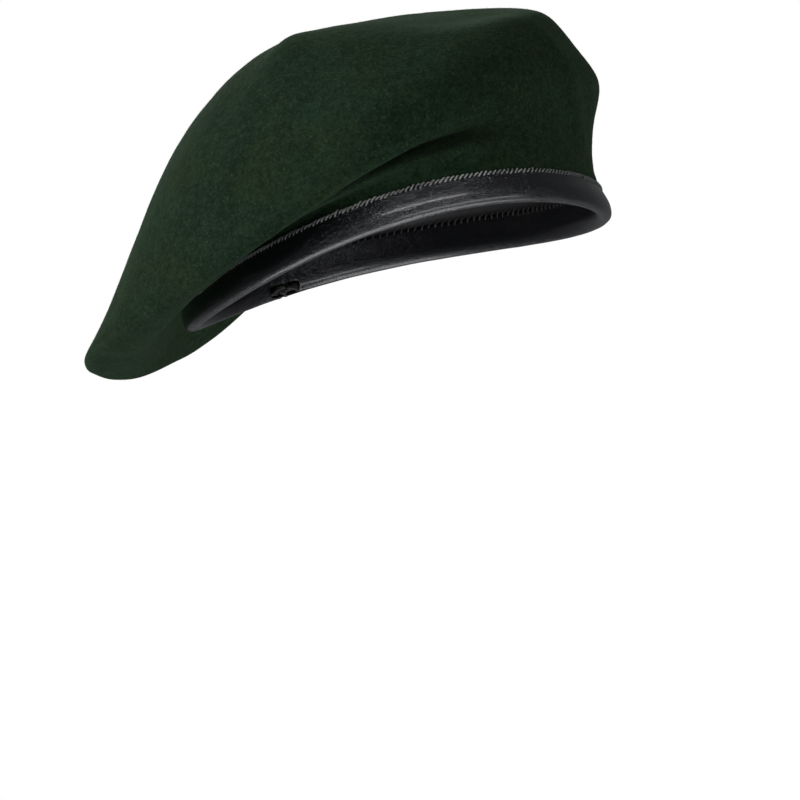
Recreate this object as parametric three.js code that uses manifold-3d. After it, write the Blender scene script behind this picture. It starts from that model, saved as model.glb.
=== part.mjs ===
// A felted wool military-style beret, worn pulled down to the wearer's right.
//
// Frame, in millimetres: +Z is up along the axis of the head opening, -Y is the wearer's front and
// +X the wearer's left. The origin is the centre of the head opening, level with the lower edge of
// the leather binding. Angles run round the opening from +X, seen from above: 90 is the back of the
// head, 180 the wearer's right and 270 the front.
//
// Every ring and shell is drawn over the same ellipse, the middle of the felt wall. "out" is a
// distance outside that ellipse, and the whole lower edge rises and falls by BAND_DIP as it passes
// round the head.

import * as THREE from 'three';
import { mergeVertices } from 'three/addons/utils/BufferGeometryUtils.js';
import Module from 'manifold-3d';

const wasm = await Module();
wasm.setup();

// Driving dimensions.
const OPENING_X = 79;            // half width of the felt wall's middle line, ear to ear
const OPENING_Y = 96;            // half length of the same line, front to back
const BAND_DIP = 6;              // how far the lower edge rises and falls round the head
const BAND_DIP_AT = 135;         // the angle, doubled, at which the lower edge is highest
const COLUMNS = 48;              // facets round every ring
const FELT = 2;                  // thickness of the felt
const LINING = 0.5;              // thickness of the lining cloth
const LEATHER = 0.9;             // thickness of the binding leather
const BOARD = 1;                 // thickness of the stiffening board
const TAPE = 0.4;                // thickness of the size label
const CORD_RADIUS = 1.3;         // the drawcord in the binding's channel
const THREAD_RADIUS = 0.4;       // the overcast sewing thread
const GAP = 0.35;                // kept between pieces that touch

// Sections through the felt crown, one at each angle. Each lists the points [out, z] of the wall,
// the underside, the outer fold, the felt just over the fold, the shoulder and the upper crown.
const CROWN_SECTIONS = [
  { at: 330, points: [[-1, 21], [5, 38], [14, 48], [5, 63], [0, 78], [-14, 86]] },
  { at: 15, points: [[2, 26], [6, 41], [12, 54], [12, 60], [3, 75], [-14, 86]] },
  { at: 60, points: [[2, 24], [9, 30], [21, 40], [22, 49], [7, 68], [-15, 85]] },
  { at: 105, points: [[7, 18], [21, 4], [38, -14], [36, 7], [17, 49], [-10, 82]] },
  { at: 150, points: [[8, 12], [21, -13], [51, -9], [39, -4], [10, 38], [-12, 71]] },
  { at: 195, points: [[7, 14], [20, 2], [35, 0], [35, 12], [16, 53], [-18, 84]] },
  { at: 240, points: [[4, 19], [11, 25], [18, 34], [17, 48], [3, 67], [-16, 83]] },
  { at: 285, points: [[-1, 23], [1, 36], [7, 49], [6, 61], [-2, 75], [-19, 76]] },
];
const CROWN_BAND_Z = [5.5, 12, 17];            // rows of the straight felt inside the binding
const CROWN_TOP = [[0.42, 92], [0.14, 91.5]];  // share of the ellipse and height, near the apex
const DIP_FADE = [0.8, 0.5, 0.2, 0, 0, 0];     // how much of the dip each section row keeps

// The lining is a plain bag over the head: [out, z] rows, then share of the ellipse and height.
const LINING_SIDE_ROWS = [[-1.65, 7], [-1.65, 12], [-1.65, 17], [-8, 26], [-11, 40], [-19, 55]];
const LINING_TIP_ROWS = [[-29, 67], [-43, 77]];
const LINING_TOP = [[0.24, 85], [0.08, 86.5]];

// Middle line of the binding leather's section, from the top of the outer leaf, down round the
// rolled channel and up the inner leaf.
const BINDING_LINE = [
  [2, 11.6], [1.9, 9], [2.1, 6], [2.7, 3.5], [2.3, 1.4], [0.6, 0.45],
  [-1.4, 0.7], [-2.6, 2.3], [-2.9, 5], [-2.6, 8.5], [-2.6, 14.5],
];
const LEATHER_SAMPLES = 10;      // facets along the leather's section

// Places in the binding's section, each [out, z].
const CORD_PLACE = [-0.1, 2.9];
const KNOT_PLACE = [-0.7, 2.9];
const WINDOW_PLACE = [-3.2, 2.9];
const EDGE_STITCH_PLACE = [2.2, 12.4];
const INNER_STITCH_PLACE = [-2.85, 15.3];

const BACK = Math.PI / 2;
const WINDOW_SIZE = [14, 4, 5.4];         // opening in the inner leaf where the cord is tied
const KNOT_HALF_SIZE = [4, 1.9, 1.9];

// Angles and crown or lining rows covered by the two pieces that lie against the cloth.
const STIFFENER_ANGLES = [307.5, 352.5];
const STIFFENER_ROWS = [3, 6.2];
const LABEL_ANGLES = [82.5, 97.5];
const LABEL_ROWS = [3.4, 4.4];

const VENT_ANGLES = { front: 190, rear: 172 };
const VENT_ROW = 3.6;            // place of the vents up the crown's rows, on its underside
const VENT_HOLE = 2.9;           // radius of the hole through the felt
const VENT_SIDES = 12;

// Sections of a vent's two pieces, each [radius, height above the felt].
const EYELET_SECTION = [
  [1.7, -3.5], [2.4, -3.5], [2.4, 0.7], [4.2, 0.6], [4.3, 0.9], [3.4, 1.3], [2, 1.3], [1.7, 1],
];
const WASHER_SECTION = [[2.75, -3.6], [3.9, -3.6], [3.9, -3.05], [2.75, -3.05]];

// Rows at which the cloth surfaces are faceted, closer together where they bend most.
const CROWN_ROWS = [
  0, 1, ...steps(2, 4, 4), ...steps(4.3, 6, 5), ...steps(6.6, 10, 5),
];
const LINING_SIDE_FACETS = steps(0, 6, 8);
const LINING_TIP_FACETS = steps(6.05, 9, 4);

const radians = THREE.MathUtils.degToRad;

function bandDip(theta) {
  return BAND_DIP * Math.cos(2 * theta - radians(BAND_DIP_AT));
}

function onRing(theta, out, z, dipShare = 1) {
  return new THREE.Vector3(
    (OPENING_X + out) * Math.cos(theta),
    (OPENING_Y + out) * Math.sin(theta),
    z + dipShare * bandDip(theta),
  );
}

function nearTop(theta, share, z) {
  return new THREE.Vector3(
    OPENING_X * share * Math.cos(theta),
    OPENING_Y * share * Math.sin(theta),
    z,
  );
}

// Weight of a section a given turn away: 1 on its own angle, 0 on all the others.
function sectionWeight(turn) {
  const count = CROWN_SECTIONS.length;
  const x = Math.atan2(Math.sin(turn), Math.cos(turn));
  if (Math.abs(x) < 1e-9) {
    return 1;
  }
  return Math.sin((count * x) / 2) / (count * Math.tan(x / 2));
}

function blendedSection(theta, row) {
  const blended = [0, 0];
  for (const { at, points } of CROWN_SECTIONS) {
    const weight = sectionWeight(theta - radians(at));
    blended[0] += weight * points[row][0];
    blended[1] += weight * points[row][1];
  }
  return blended;
}

// Control points up one column of the crown, from the hem to the last row before the apex.
function crownColumn(theta) {
  const column = CROWN_BAND_Z.map((z) => onRing(theta, FELT / 2, z));
  DIP_FADE.forEach((dipShare, row) => {
    const [out, z] = blendedSection(theta, row);
    column.push(onRing(theta, out, z, dipShare));
  });
  CROWN_TOP.forEach(([share, z]) => column.push(nearTop(theta, share, z)));
  return column;
}

function liningColumn(theta) {
  const column = LINING_SIDE_ROWS.concat(LINING_TIP_ROWS).map(([out, z], row) => {
    const dipShare = Math.min(1, Math.max(0, 1.4 - row / 5));
    return onRing(theta, out, z, dipShare);
  });
  LINING_TOP.forEach(([share, z]) => column.push(nearTop(theta, share, z)));
  return column;
}

// A smooth surface over rows of control points, closed over the apex by the rows of the far side.
// surface(theta, row) gives the point; row runs from 0 at the hem to surface.apex.
function smoothSurface(columnAt) {
  const columns = new Map();
  function extendedColumn(theta) {
    if (!columns.has(theta)) {
      const near = columnAt(theta);
      const far = columnAt(theta + Math.PI);
      const below = near[0].clone().multiplyScalar(2).sub(near[1]);
      columns.set(theta, [below, ...near, far[far.length - 1], far[far.length - 2]]);
    }
    return columns.get(theta);
  }
  function surface(theta, row) {
    const column = extendedColumn(theta);
    const first = Math.min(Math.floor(row), column.length - 4);
    const s = row - first;
    const weights = [
      (1 - s) ** 3 / 6,
      (3 * s ** 3 - 6 * s ** 2 + 4) / 6,
      (-3 * s ** 3 + 3 * s ** 2 + 3 * s + 1) / 6,
      s ** 3 / 6,
    ];
    const point = new THREE.Vector3();
    weights.forEach((weight, i) => point.addScaledVector(column[first + i], weight));
    return point;
  }
  surface.apex = columnAt(0).length - 0.5;
  return surface;
}

const crownSurface = smoothSurface(crownColumn);
const liningSurface = smoothSurface(liningColumn);

function normalOf(surface, theta, row) {
  const step = 1e-3;
  const along = surface(theta + step, row).sub(surface(theta - step, row));
  const low = Math.max(0, row - step);
  const up = surface(theta, row + step).sub(surface(theta, low));
  return along.cross(up).normalize();
}

function offsetPoint(surface, theta, row, distance) {
  return surface(theta, row).addScaledVector(normalOf(surface, theta, row), distance);
}

function steps(from, to, count) {
  return Array.from({ length: count + 1 }, (_, i) => from + ((to - from) * i) / count);
}

const RING_ANGLES = steps(0, 2 * Math.PI, COLUMNS).slice(0, COLUMNS);

function surfaceRow(surface, row, distance) {
  return RING_ANGLES.map((theta) => offsetPoint(surface, theta, row, distance));
}

// Skins rows of points, each row one closed hoop. The rows end in two poles, or join up in a ring.
function skinHoops(rows, poles) {
  const positions = rows.flat().flatMap((p) => [p.x, p.y, p.z]);
  const index = [];
  const count = rows[0].length;
  const joined = poles ? rows.length - 1 : rows.length;
  for (let i = 0; i < joined; i += 1) {
    const next = (i + 1) % rows.length;
    for (let k = 0; k < count; k += 1) {
      const k2 = (k + 1) % count;
      const a = i * count + k;
      const b = i * count + k2;
      const c = next * count + k2;
      const d = next * count + k;
      index.push(a, b, c, a, c, d);
    }
  }
  if (poles) {
    const first = positions.length / 3;
    const last = first + 1;
    const top = (rows.length - 1) * count;
    poles.forEach((p) => positions.push(p.x, p.y, p.z));
    for (let k = 0; k < count; k += 1) {
      const k2 = (k + 1) % count;
      index.push(first, k2, k);
      index.push(last, top + k, top + k2);
    }
  }
  return indexedGeometry(positions, index);
}

// Skins a sheet that has a front face, a back face and four edges. Both faces are grids of points,
// grid[row][column], and the front is the side whose columns run anticlockwise as its rows rise.
function skinSheet(front, back) {
  const rows = front.length;
  const columns = front[0].length;
  const positions = front.concat(back).flat().flatMap((p) => [p.x, p.y, p.z]);
  const index = [];
  const at = (side, i, k) => (side * rows + i) * columns + k;
  function quad(a, b, c, d) {
    index.push(a, b, c, a, c, d);
  }
  for (let i = 0; i < rows - 1; i += 1) {
    for (let k = 0; k < columns - 1; k += 1) {
      quad(at(0, i, k), at(0, i, k + 1), at(0, i + 1, k + 1), at(0, i + 1, k));
      quad(at(1, i, k), at(1, i + 1, k), at(1, i + 1, k + 1), at(1, i, k + 1));
    }
    quad(at(0, i, 0), at(0, i + 1, 0), at(1, i + 1, 0), at(1, i, 0));
    const end = columns - 1;
    quad(at(0, i + 1, end), at(0, i, end), at(1, i, end), at(1, i + 1, end));
  }
  for (let k = 0; k < columns - 1; k += 1) {
    const top = rows - 1;
    quad(at(0, 0, k), at(1, 0, k), at(1, 0, k + 1), at(0, 0, k + 1));
    quad(at(0, top, k + 1), at(1, top, k + 1), at(1, top, k), at(0, top, k));
  }
  return indexedGeometry(positions, index);
}

function indexedGeometry(positions, index) {
  const geometry = new THREE.BufferGeometry();
  geometry.setAttribute('position', new THREE.Float32BufferAttribute(positions, 3));
  geometry.setIndex(index);
  return geometry;
}

function toSolid(geometry) {
  const bare = geometry.clone();
  bare.deleteAttribute('normal');
  bare.deleteAttribute('uv');
  const merged = mergeVertices(bare, 1e-4);
  return new wasm.Manifold(new wasm.Mesh({
    numProp: 3,
    vertProperties: new Float32Array(merged.attributes.position.array),
    triVerts: new Uint32Array(merged.index.array),
  }));
}

function toGeometry(solid) {
  const mesh = solid.getMesh();
  return indexedGeometry(Array.from(mesh.vertProperties), Array.from(mesh.triVerts));
}

// A shell of cloth between two distances from a surface, open at the hem and closed at the apex.
function clothBag(surface, rowValues, outside, inside) {
  const outer = rowValues.map((row) => surfaceRow(surface, row, outside));
  const inner = rowValues.map((row) => surfaceRow(surface, row, inside)).reverse();
  const poles = [inside, outside].map((distance) => {
    const apex = surface(0, surface.apex);
    apex.z += distance;
    return apex;
  });
  return skinHoops([...inner, ...outer], poles);
}

function clothHoop(surface, rowValues, outside, inside) {
  const outer = rowValues.map((row) => surfaceRow(surface, row, outside));
  const inner = rowValues.map((row) => surfaceRow(surface, row, inside)).reverse();
  return skinHoops([...outer, ...inner]);
}

function ringOf(section, dipShare = 1) {
  return skinHoops(section.map(([out, z]) => (
    RING_ANGLES.map((theta) => onRing(theta, out, z, dipShare))
  )));
}

function roundSection([out, z], radius, sides) {
  return steps(0, 2 * Math.PI, sides).slice(0, sides).map((turn) => (
    [out + radius * Math.cos(turn), z + radius * Math.sin(turn)]
  ));
}

// The leather's section: its middle line given a thickness, outer face first.
function thickSection(line, thickness, samples) {
  const curve = new THREE.SplineCurve(line.map(([out, z]) => new THREE.Vector2(out, z)));
  const points = curve.getPoints(samples);
  function side(sign) {
    return points.map((point, i) => {
      const tangent = curve.getTangent(i / samples);
      return [
        point.x - (sign * tangent.y * thickness) / 2,
        point.y + (sign * tangent.x * thickness) / 2,
      ];
    });
  }
  return [...side(1), ...side(-1).reverse()].reverse();
}

// A short solid of revolution standing on a surface, its axis along the outward normal.
function standOnSurface(geometry, theta, row, lift) {
  const turn = new THREE.Quaternion().setFromUnitVectors(
    new THREE.Vector3(0, 1, 0),
    normalOf(crownSurface, theta, row),
  );
  const place = offsetPoint(crownSurface, theta, row, lift);
  return geometry.applyQuaternion(turn).translate(place.x, place.y, place.z);
}

const MATERIALS = {
  felt: new THREE.MeshStandardMaterial({ color: 0x1a3024, roughness: 0.97, metalness: 0 }),
  leather: new THREE.MeshStandardMaterial({ color: 0x17171a, roughness: 0.42, metalness: 0 }),
  lining: new THREE.MeshStandardMaterial({ color: 0x121215, roughness: 0.55, metalness: 0 }),
  board: new THREE.MeshStandardMaterial({ color: 0x2b2b2d, roughness: 0.9, metalness: 0 }),
  cord: new THREE.MeshStandardMaterial({ color: 0x141416, roughness: 0.85, metalness: 0 }),
  thread: new THREE.MeshStandardMaterial({ color: 0x77787c, roughness: 0.7, metalness: 0 }),
  blackThread: new THREE.MeshStandardMaterial({ color: 0x1c1c1f, roughness: 0.7, metalness: 0 }),
  enamel: new THREE.MeshStandardMaterial({ color: 0x15161a, roughness: 0.35, metalness: 0.6 }),
  label: new THREE.MeshStandardMaterial({ color: 0xd8d6cf, roughness: 0.8, metalness: 0 }),
};

const beret = new THREE.Group();

function addPiece(name, geometry, material) {
  const piece = new THREE.Mesh(geometry, material);
  piece.name = name;
  beret.add(piece);
}

// The felt crown, one seamless piece, with a hole through it for each vent.
function feltCrown() {
  let crown = toSolid(clothBag(crownSurface, CROWN_ROWS, 0, -FELT));
  for (const angle of Object.values(VENT_ANGLES)) {
    const punch = new THREE.CylinderGeometry(VENT_HOLE, VENT_HOLE, 4 * FELT, VENT_SIDES);
    standOnSurface(punch, radians(angle), VENT_ROW, -FELT / 2);
    crown = crown.subtract(toSolid(punch));
  }
  return toGeometry(crown);
}

// The folded leather binding, with the window at the back where the drawcord is knotted.
function edgeBinding() {
  const ring = toSolid(ringOf(thickSection(BINDING_LINE, LEATHER, LEATHER_SAMPLES)));
  const cut = new THREE.BoxGeometry(...WINDOW_SIZE);
  const place = onRing(BACK, ...WINDOW_PLACE);
  cut.translate(place.x, place.y, place.z);
  return toGeometry(ring.subtract(toSolid(cut)));
}

// The cord in the binding's channel, with its knot standing in the window.
function drawcord() {
  const ring = toSolid(ringOf(roundSection(CORD_PLACE, CORD_RADIUS, 6)));
  const knot = new THREE.SphereGeometry(1, 10, 6).scale(...KNOT_HALF_SIZE);
  const place = onRing(BACK, ...KNOT_PLACE);
  knot.translate(place.x, place.y, place.z);
  return toGeometry(ring.add(toSolid(knot)));
}

// A flat piece lying a given depth inside a cloth surface, between two angles and two rows.
function laidSheet(surface, angles, rows, facets, depth, thickness) {
  const turns = steps(...angles, facets);
  const levels = steps(...rows, facets);
  const face = (distance) => levels.map((row) => (
    turns.map((turn) => offsetPoint(surface, radians(turn), row, distance))
  ));
  return skinSheet(face(-depth), face(-depth - thickness));
}

// A vent's eyelet, set through the felt from outside, or the washer it is clenched over.
function turned(section) {
  const outline = [...section, section[0]].map(([r, h]) => new THREE.Vector2(r, h));
  return new THREE.LatheGeometry(outline, VENT_SIDES);
}

addPiece('crown', feltCrown(), MATERIALS.felt);
addPiece('edge_binding', edgeBinding(), MATERIALS.leather);
addPiece('drawcord', drawcord(), MATERIALS.cord);
addPiece(
  'lining_side',
  clothHoop(liningSurface, LINING_SIDE_FACETS, LINING / 2, -LINING / 2),
  MATERIALS.lining,
);
addPiece(
  'lining_tip',
  clothBag(liningSurface, LINING_TIP_FACETS, LINING / 2, -LINING / 2),
  MATERIALS.lining,
);
addPiece(
  'flash_stiffener',
  laidSheet(crownSurface, STIFFENER_ANGLES, STIFFENER_ROWS, 6, FELT + GAP, BOARD),
  MATERIALS.board,
);
for (const [side, angle] of Object.entries(VENT_ANGLES)) {
  const eyelet = standOnSurface(turned(EYELET_SECTION), radians(angle), VENT_ROW, 0);
  const washer = standOnSurface(turned(WASHER_SECTION), radians(angle), VENT_ROW, 0);
  addPiece(`vent_eyelet_${side}`, eyelet, MATERIALS.enamel);
  addPiece(`vent_washer_${side}`, washer, MATERIALS.enamel);
}
addPiece(
  'size_label',
  laidSheet(liningSurface, LABEL_ANGLES, LABEL_ROWS, 2, LINING / 2 + GAP, TAPE),
  MATERIALS.label,
);
addPiece(
  'edge_stitching',
  ringOf(roundSection(EDGE_STITCH_PLACE, THREAD_RADIUS, 5)),
  MATERIALS.thread,
);
addPiece(
  'inner_stitching',
  ringOf(roundSection(INNER_STITCH_PLACE, THREAD_RADIUS, 5)),
  MATERIALS.blackThread,
);

export default beret;
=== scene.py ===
import math

import bpy
import numpy as np
from mathutils import Matrix, Vector, noise


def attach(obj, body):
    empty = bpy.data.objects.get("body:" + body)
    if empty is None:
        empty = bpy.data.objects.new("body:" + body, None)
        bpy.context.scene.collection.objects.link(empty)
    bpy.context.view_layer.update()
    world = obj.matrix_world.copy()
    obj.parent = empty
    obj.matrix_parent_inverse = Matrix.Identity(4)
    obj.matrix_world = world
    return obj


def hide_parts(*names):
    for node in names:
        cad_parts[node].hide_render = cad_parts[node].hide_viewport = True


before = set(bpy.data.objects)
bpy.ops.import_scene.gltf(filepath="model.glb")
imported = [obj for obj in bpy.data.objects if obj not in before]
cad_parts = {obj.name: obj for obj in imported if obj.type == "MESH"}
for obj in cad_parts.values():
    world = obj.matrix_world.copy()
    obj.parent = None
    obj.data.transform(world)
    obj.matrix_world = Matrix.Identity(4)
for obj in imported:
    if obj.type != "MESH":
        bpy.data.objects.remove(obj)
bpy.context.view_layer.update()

# A felted wool beret bound in leather, worn pulled down to the wearer's right.
# Lengths are millimetres until a mesh is made. Angles run round the head opening from the
# wearer's left (0), over the back (90) and the right (180) to the front (270). "out" is a
# distance outside the ellipse down the middle of the felt wall. A "row" is a place up a draped
# surface, counted in rows of the points that control it.
MM = 0.001
OPENING_X, OPENING_Y = 79.0, 96.0  # half axes of that ellipse
GIRTH = math.pi * (OPENING_X + OPENING_Y)
BAND_DIP, BAND_DIP_AT = 6.0, 135.0  # the opening's edge is a shallow saddle
BAND_TAPER, TAPER_AT = 0.8, math.radians(318)
BACK_AT = 90
BACK = math.radians(BACK_AT)
FELT, LINING, LEATHER = 2.0, 0.5, 0.9
COLUMNS = 384

# Sections of the crown's outer face, as (out, z) for the wall, underside, fold, over the fold,
# shoulder and upper crown. The band's rows come below them and the top's rows above.
CROWN_SECTIONS = {
    330: [(-1, 21), (5, 38), (14, 48), (5, 63), (0, 78), (-14, 86)],
    15: [(2, 26), (6, 41), (12, 54), (12, 60), (3, 75), (-14, 86)],
    60: [(2, 24), (9, 30), (21, 40), (22, 49), (7, 68), (-15, 85)],
    105: [(7, 18), (21, 4), (38, -14), (36, 7), (17, 49), (-10, 82)],
    150: [(8, 12), (21, -13), (51, -9), (39, -4), (10, 38), (-12, 71)],
    195: [(7, 14), (20, 2), (35, 0), (35, 12), (16, 53), (-18, 84)],
    240: [(4, 19), (11, 25), (18, 34), (17, 48), (3, 67), (-16, 83)],
    285: [(-1, 23), (1, 36), (7, 49), (6, 61), (-2, 75), (-19, 76)],
}
CROWN_BAND_Z = [5.5, 12, 17]
CROWN_TOP = [(0.42, 92), (0.14, 91.5)]  # share of the opening's width, and z
DIP_FADE = [0.8, 0.5, 0.2, 0, 0, 0]  # how much of the band's dip each section row keeps

# The crease over the wearer's right temple, as (angle, row), and the angles it fades out by.
FRONT_CREASE = [
    (201, 4.55), (212, 4.5), (219, 4.25), (227, 4.0), (242, 3.88), (264, 3.8), (280, 3.6),
]
CREASE_ENDS = (192, 284)
# Soft corners of the felt, as (angle, row, width in degrees, height in rows, how far out).
SOFT_CORNERS = [
    (218, 8.05, 7, 0.42, 2.0), (205, 8.0, 9, 0.5, -0.5), (318, 4.7, 9, 0.5, 0.8),
    (320, 3.7, 13, 0.75, 1.5), (315, 2.8, 16, 0.5, 0.9), (123, 4.88, 7, 0.5, 0.9),
    (141, 4.95, 6, 0.5, -0.4),
]
# The stiffening board at the wearer's left front, and the ridge over its edge, as (row, angle).
BOARD_ANGLES, BOARD_ROWS, BOARD, BOARD_DEPTH = (307.5, 352.5), (3, 6.2), 1.0, FELT + 0.35
BOARD_EDGE = [(3.0, 311), (4.0, 308), (4.8, 302), (5.7, 299), (6.4, 297)]

LINING_ROWS = [
    (-1.65, 7), (-1.65, 12), (-1.65, 17), (-8, 26), (-11, 40), (-19, 55), (-29, 67), (-43, 77),
]
LINING_TOP = [(0.24, 85), (0.08, 86.5)]
SIDE_LAST_ROW, TIP_FIRST_ROW, TIP_SEAM_ROW = 6, 6.05, 6.35
GATHER_DEPTH = 1.6
ROW_OF_CLOTH = 13  # millimetres of cloth from one row of the lining to the next
# Where the size label lies on the lining, between two angles and two rows, then its thickness and
# depth in millimetres.
LABEL_ANGLES, LABEL_ROWS, LABEL, LABEL_DEPTH = (82.5, 97.5), (3.4, 4.4), 0.4, 0.6
LABEL_MARGIN = (0.7, 0.05)  # from the label's edge to its stitches, in degrees and in rows

# The middle of the leather strip in section, from the top of its outer leaf to its inner leaf's.
BINDING_LINE = [
    (1.5, 11.6), (2.05, 9.2), (2.65, 6.4), (2.85, 3.9), (2.3, 1.5), (0.6, 0.45),
    (-1.4, 0.7), (-2.6, 2.3), (-2.9, 5), (-2.6, 8.5), (-2.4, 14.5),
]
LEATHER_SAMPLES = 44
OUTER_LEAF_TOP, INNER_LEAF_TOP = (1.95, 11.75), (-2.8, 14.6)
STITCH_PITCH = 1.9
CORD_PLACE, CORD_RADIUS, CORD_SIDES = (-0.1, 2.9), 1.3, 14
WINDOW_OUT, WINDOW_SIZE, WINDOW_ROUND = -3.2, (14, 4, 5.4), 1.2

VENT_ANGLES, VENT_ROW, VENT_HOLE = {"front": 190, "rear": 172}, 3.6, 2.9
VENT_SINK = 0.7  # how deep an eyelet pulls the felt in
# Turned sections of the vents' metal, as (radius, height over the felt).
EYELET_SECTION = [
    (1.7, -3.5), (2.05, -3.62), (2.4, -3.5), (2.4, 0.12), (3.2, 0.1), (4.1, 0.06), (4.3, 0.12),
    (4.25, 0.25), (3.9, 0.42), (3.3, 0.52), (2.6, 0.55), (2.1, 0.48), (1.8, 0.3), (1.7, 0.05),
]
WASHER_SECTION = [
    (2.75, -3.6), (3.8, -3.6), (3.95, -3.45), (3.95, -3.2), (3.8, -3.05), (2.75, -3.05),
]

FIBRES = 430000  # loose fibres to a square metre of felt
FIBRE_LENGTH, FIBRE_WIDTH = 1.1, 0.05

# The studio, in metres, degrees and watts. Each softbox has its place, target, size and power.
CAMERA_PLACE, CAMERA_TARGET = (-0.7625, -1.3207, -0.1235), (-0.00828, 0.00751, -0.05257)
CAMERA_ROLL, CAMERA_LENS = -14.21, 175.5
SOFTBOXES = {
    "key": ((-2.0, 0.3, 1.1), (0, 0, 0.04), (1.2, 1.4), 71),
    "overhead": ((-0.4, -0.5, 1.9), (0, 0, 0.04), (1.4, 1.4), 3),
    "front_strip": ((-1.0, -2.15, 0.66), (0, 0, 0), (2.2, 0.16), 20),
    "back_fill": ((0.9, 2.1, 0.9), (0, 0, 0.04), (1.2, 1.0), 12),
    "low_glow": ((-0.05, -0.75, -0.42), (0.0, -0.05, 0), (1.1, 0.26), 3.5),
    "below": ((-0.1, 0.1, -1.4), (0, 0, 0), (1.4, 1.4), 20),
}
SURROUND, PAPER = 0.12, 1.0  # the world's light on the hat, and as the camera sees it
FLOOR_Z, FLOOR_RADIUS, FLOOR_GLOW = -0.30, 1.5, 0.7


def band_dip(theta):
    return BAND_DIP * np.cos(2 * theta - math.radians(BAND_DIP_AT))


def on_ring(theta, out, z, dip_share=1.0):
    """Points round the opening; the band tapers in towards its top at the wearer's left temple."""
    height = np.interp(z, [1, 6, 11, 20], [0, 0.4, 1, 0])
    out = out - BAND_TAPER * height * np.maximum(0, np.cos(theta - TAPER_AT)) ** 4
    x = (OPENING_X + out) * np.cos(theta)
    y = (OPENING_Y + out) * np.sin(theta)
    return np.stack([x, y, z + dip_share * band_dip(theta)], -1)


def at_back(out, z):
    return on_ring(np.array([BACK]), out, z)[0]


def near_top(theta, share, z):
    x = OPENING_X * share * np.cos(theta)
    return np.stack([x, OPENING_Y * share * np.sin(theta), np.full_like(x, z)], -1)


def section_weights(theta):
    """How much each section counts at each angle: 1 at its own, 0 at the others'."""
    count = len(CROWN_SECTIONS)
    weights = []
    for at in CROWN_SECTIONS:
        turn = (theta - math.radians(at) + math.pi) % (2 * math.pi) - math.pi
        turn = np.where(np.abs(turn) < 1e-9, 1e-9, turn)
        weights.append(np.sin(count * turn / 2) / (count * np.tan(turn / 2)))
    return np.array(weights)


def crown_controls(theta):
    weights = section_weights(theta)
    rows = [on_ring(theta, FELT / 2, z) for z in CROWN_BAND_Z]
    table = np.array(list(CROWN_SECTIONS.values()), float)
    for row, dip_share in enumerate(DIP_FADE):
        out, z = table[:, row, 0] @ weights, table[:, row, 1] @ weights
        rows.append(on_ring(theta, out, z, dip_share))
    rows += [near_top(theta, share, z) for share, z in CROWN_TOP]
    return np.array(rows)


def lining_controls(theta):
    rows = []
    for row, (out, z) in enumerate(LINING_ROWS):
        rows.append(on_ring(theta, out, z, min(1.0, max(0.0, 1.4 - row / 5))))
    rows += [near_top(theta, share, z) for share, z in LINING_TOP]
    return np.array(rows)


def drape(controls, theta, rows):
    """Points of the smooth surface over rows of controls, and its outward normals."""
    def points(angles, at):
        near, far = controls(angles), controls(angles + math.pi)
        stack = np.concatenate([[2 * near[0] - near[1]], near, [far[-1], far[-2]]])
        first = np.minimum(np.floor(at).astype(int), len(stack) - 4)
        s = (at - first)[:, None, None]
        return (
            (1 - s) ** 3 / 6 * stack[first]
            + (3 * s**3 - 6 * s**2 + 4) / 6 * stack[first + 1]
            + (-3 * s**3 + 3 * s**2 + 3 * s + 1) / 6 * stack[first + 2]
            + s**3 / 6 * stack[first + 3]
        )
    step = 1e-3
    rows = np.asarray(rows, float)
    along = points(theta + step, rows) - points(theta - step, rows)
    up = points(theta, rows + step) - points(theta, np.maximum(rows - step, 0))
    normal = np.cross(along, up)
    normal /= np.linalg.norm(normal, axis=-1, keepdims=True)
    return points(theta, rows), normal


def full_turn(count):
    return np.linspace(0, 2 * math.pi, count, endpoint=False)


ROUND = full_turn(COLUMNS)
# The rows of the last hoops below the apexes, which are capped.
CROWN_LAST_ROW = len(CROWN_BAND_Z) + len(DIP_FADE) + len(CROWN_TOP) - 0.62
LINING_LAST_ROW = len(LINING_ROWS) + len(LINING_TOP) - 0.62


def new_piece(name, points, faces, uvs=None, edges=()):
    """A smooth-shaded mesh object from points in millimetres; uvs has one place per corner."""
    mesh = bpy.data.meshes.new(name)
    mesh.from_pydata((np.asarray(points) * MM).tolist(), edges, faces)
    mesh.shade_smooth()
    if uvs is not None:
        layer = mesh.uv_layers.new(name="cloth")
        layer.uv.foreach_set("vector", np.asarray(uvs, np.float32).ravel())
    piece = bpy.data.objects.new(name, mesh)
    bpy.context.scene.collection.objects.link(piece)
    return piece


def hoop_piece(name, hoops, poles=None, along=None, around=None):
    """Skins hoops of points; they end in two poles, or join up as a ring. along is each hoop's
    place across the cloth and around each column's, in millimetres, for the piece's UV map."""
    hoops = np.asarray(hoops)
    rows, columns = hoops.shape[:2]
    points = hoops.reshape(-1, 3)
    spans = rows - 1 if poles is not None else rows
    faces, uvs = [], []
    along = np.zeros(rows + 1) if along is None else np.append(along, 2 * along[-1] - along[-2])
    around = np.arange(columns) / columns * GIRTH if around is None else np.asarray(around)
    around = np.append(around, 2 * around[-1] - around[-2])
    for i in range(spans):
        j = (i + 1) % rows
        for k in range(columns):
            k2 = (k + 1) % columns
            faces.append((i * columns + k, i * columns + k2, j * columns + k2, j * columns + k))
            u, u2 = around[k] * MM, around[k + 1] * MM
            v, v2 = along[i] * MM, along[i + 1] * MM
            uvs += [(u, v), (u2, v), (u2, v2), (u, v2)]
    if poles is not None:
        first, top = len(points), (rows - 1) * columns
        points = np.concatenate([points, poles])
        for k in range(columns):
            k2 = (k + 1) % columns
            faces.append((first, k2, k))
            faces.append((first + 1, top + k, top + k2))
            uvs += [(0, 0)] * 6
    return new_piece(name, points, faces, uvs)


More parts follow.
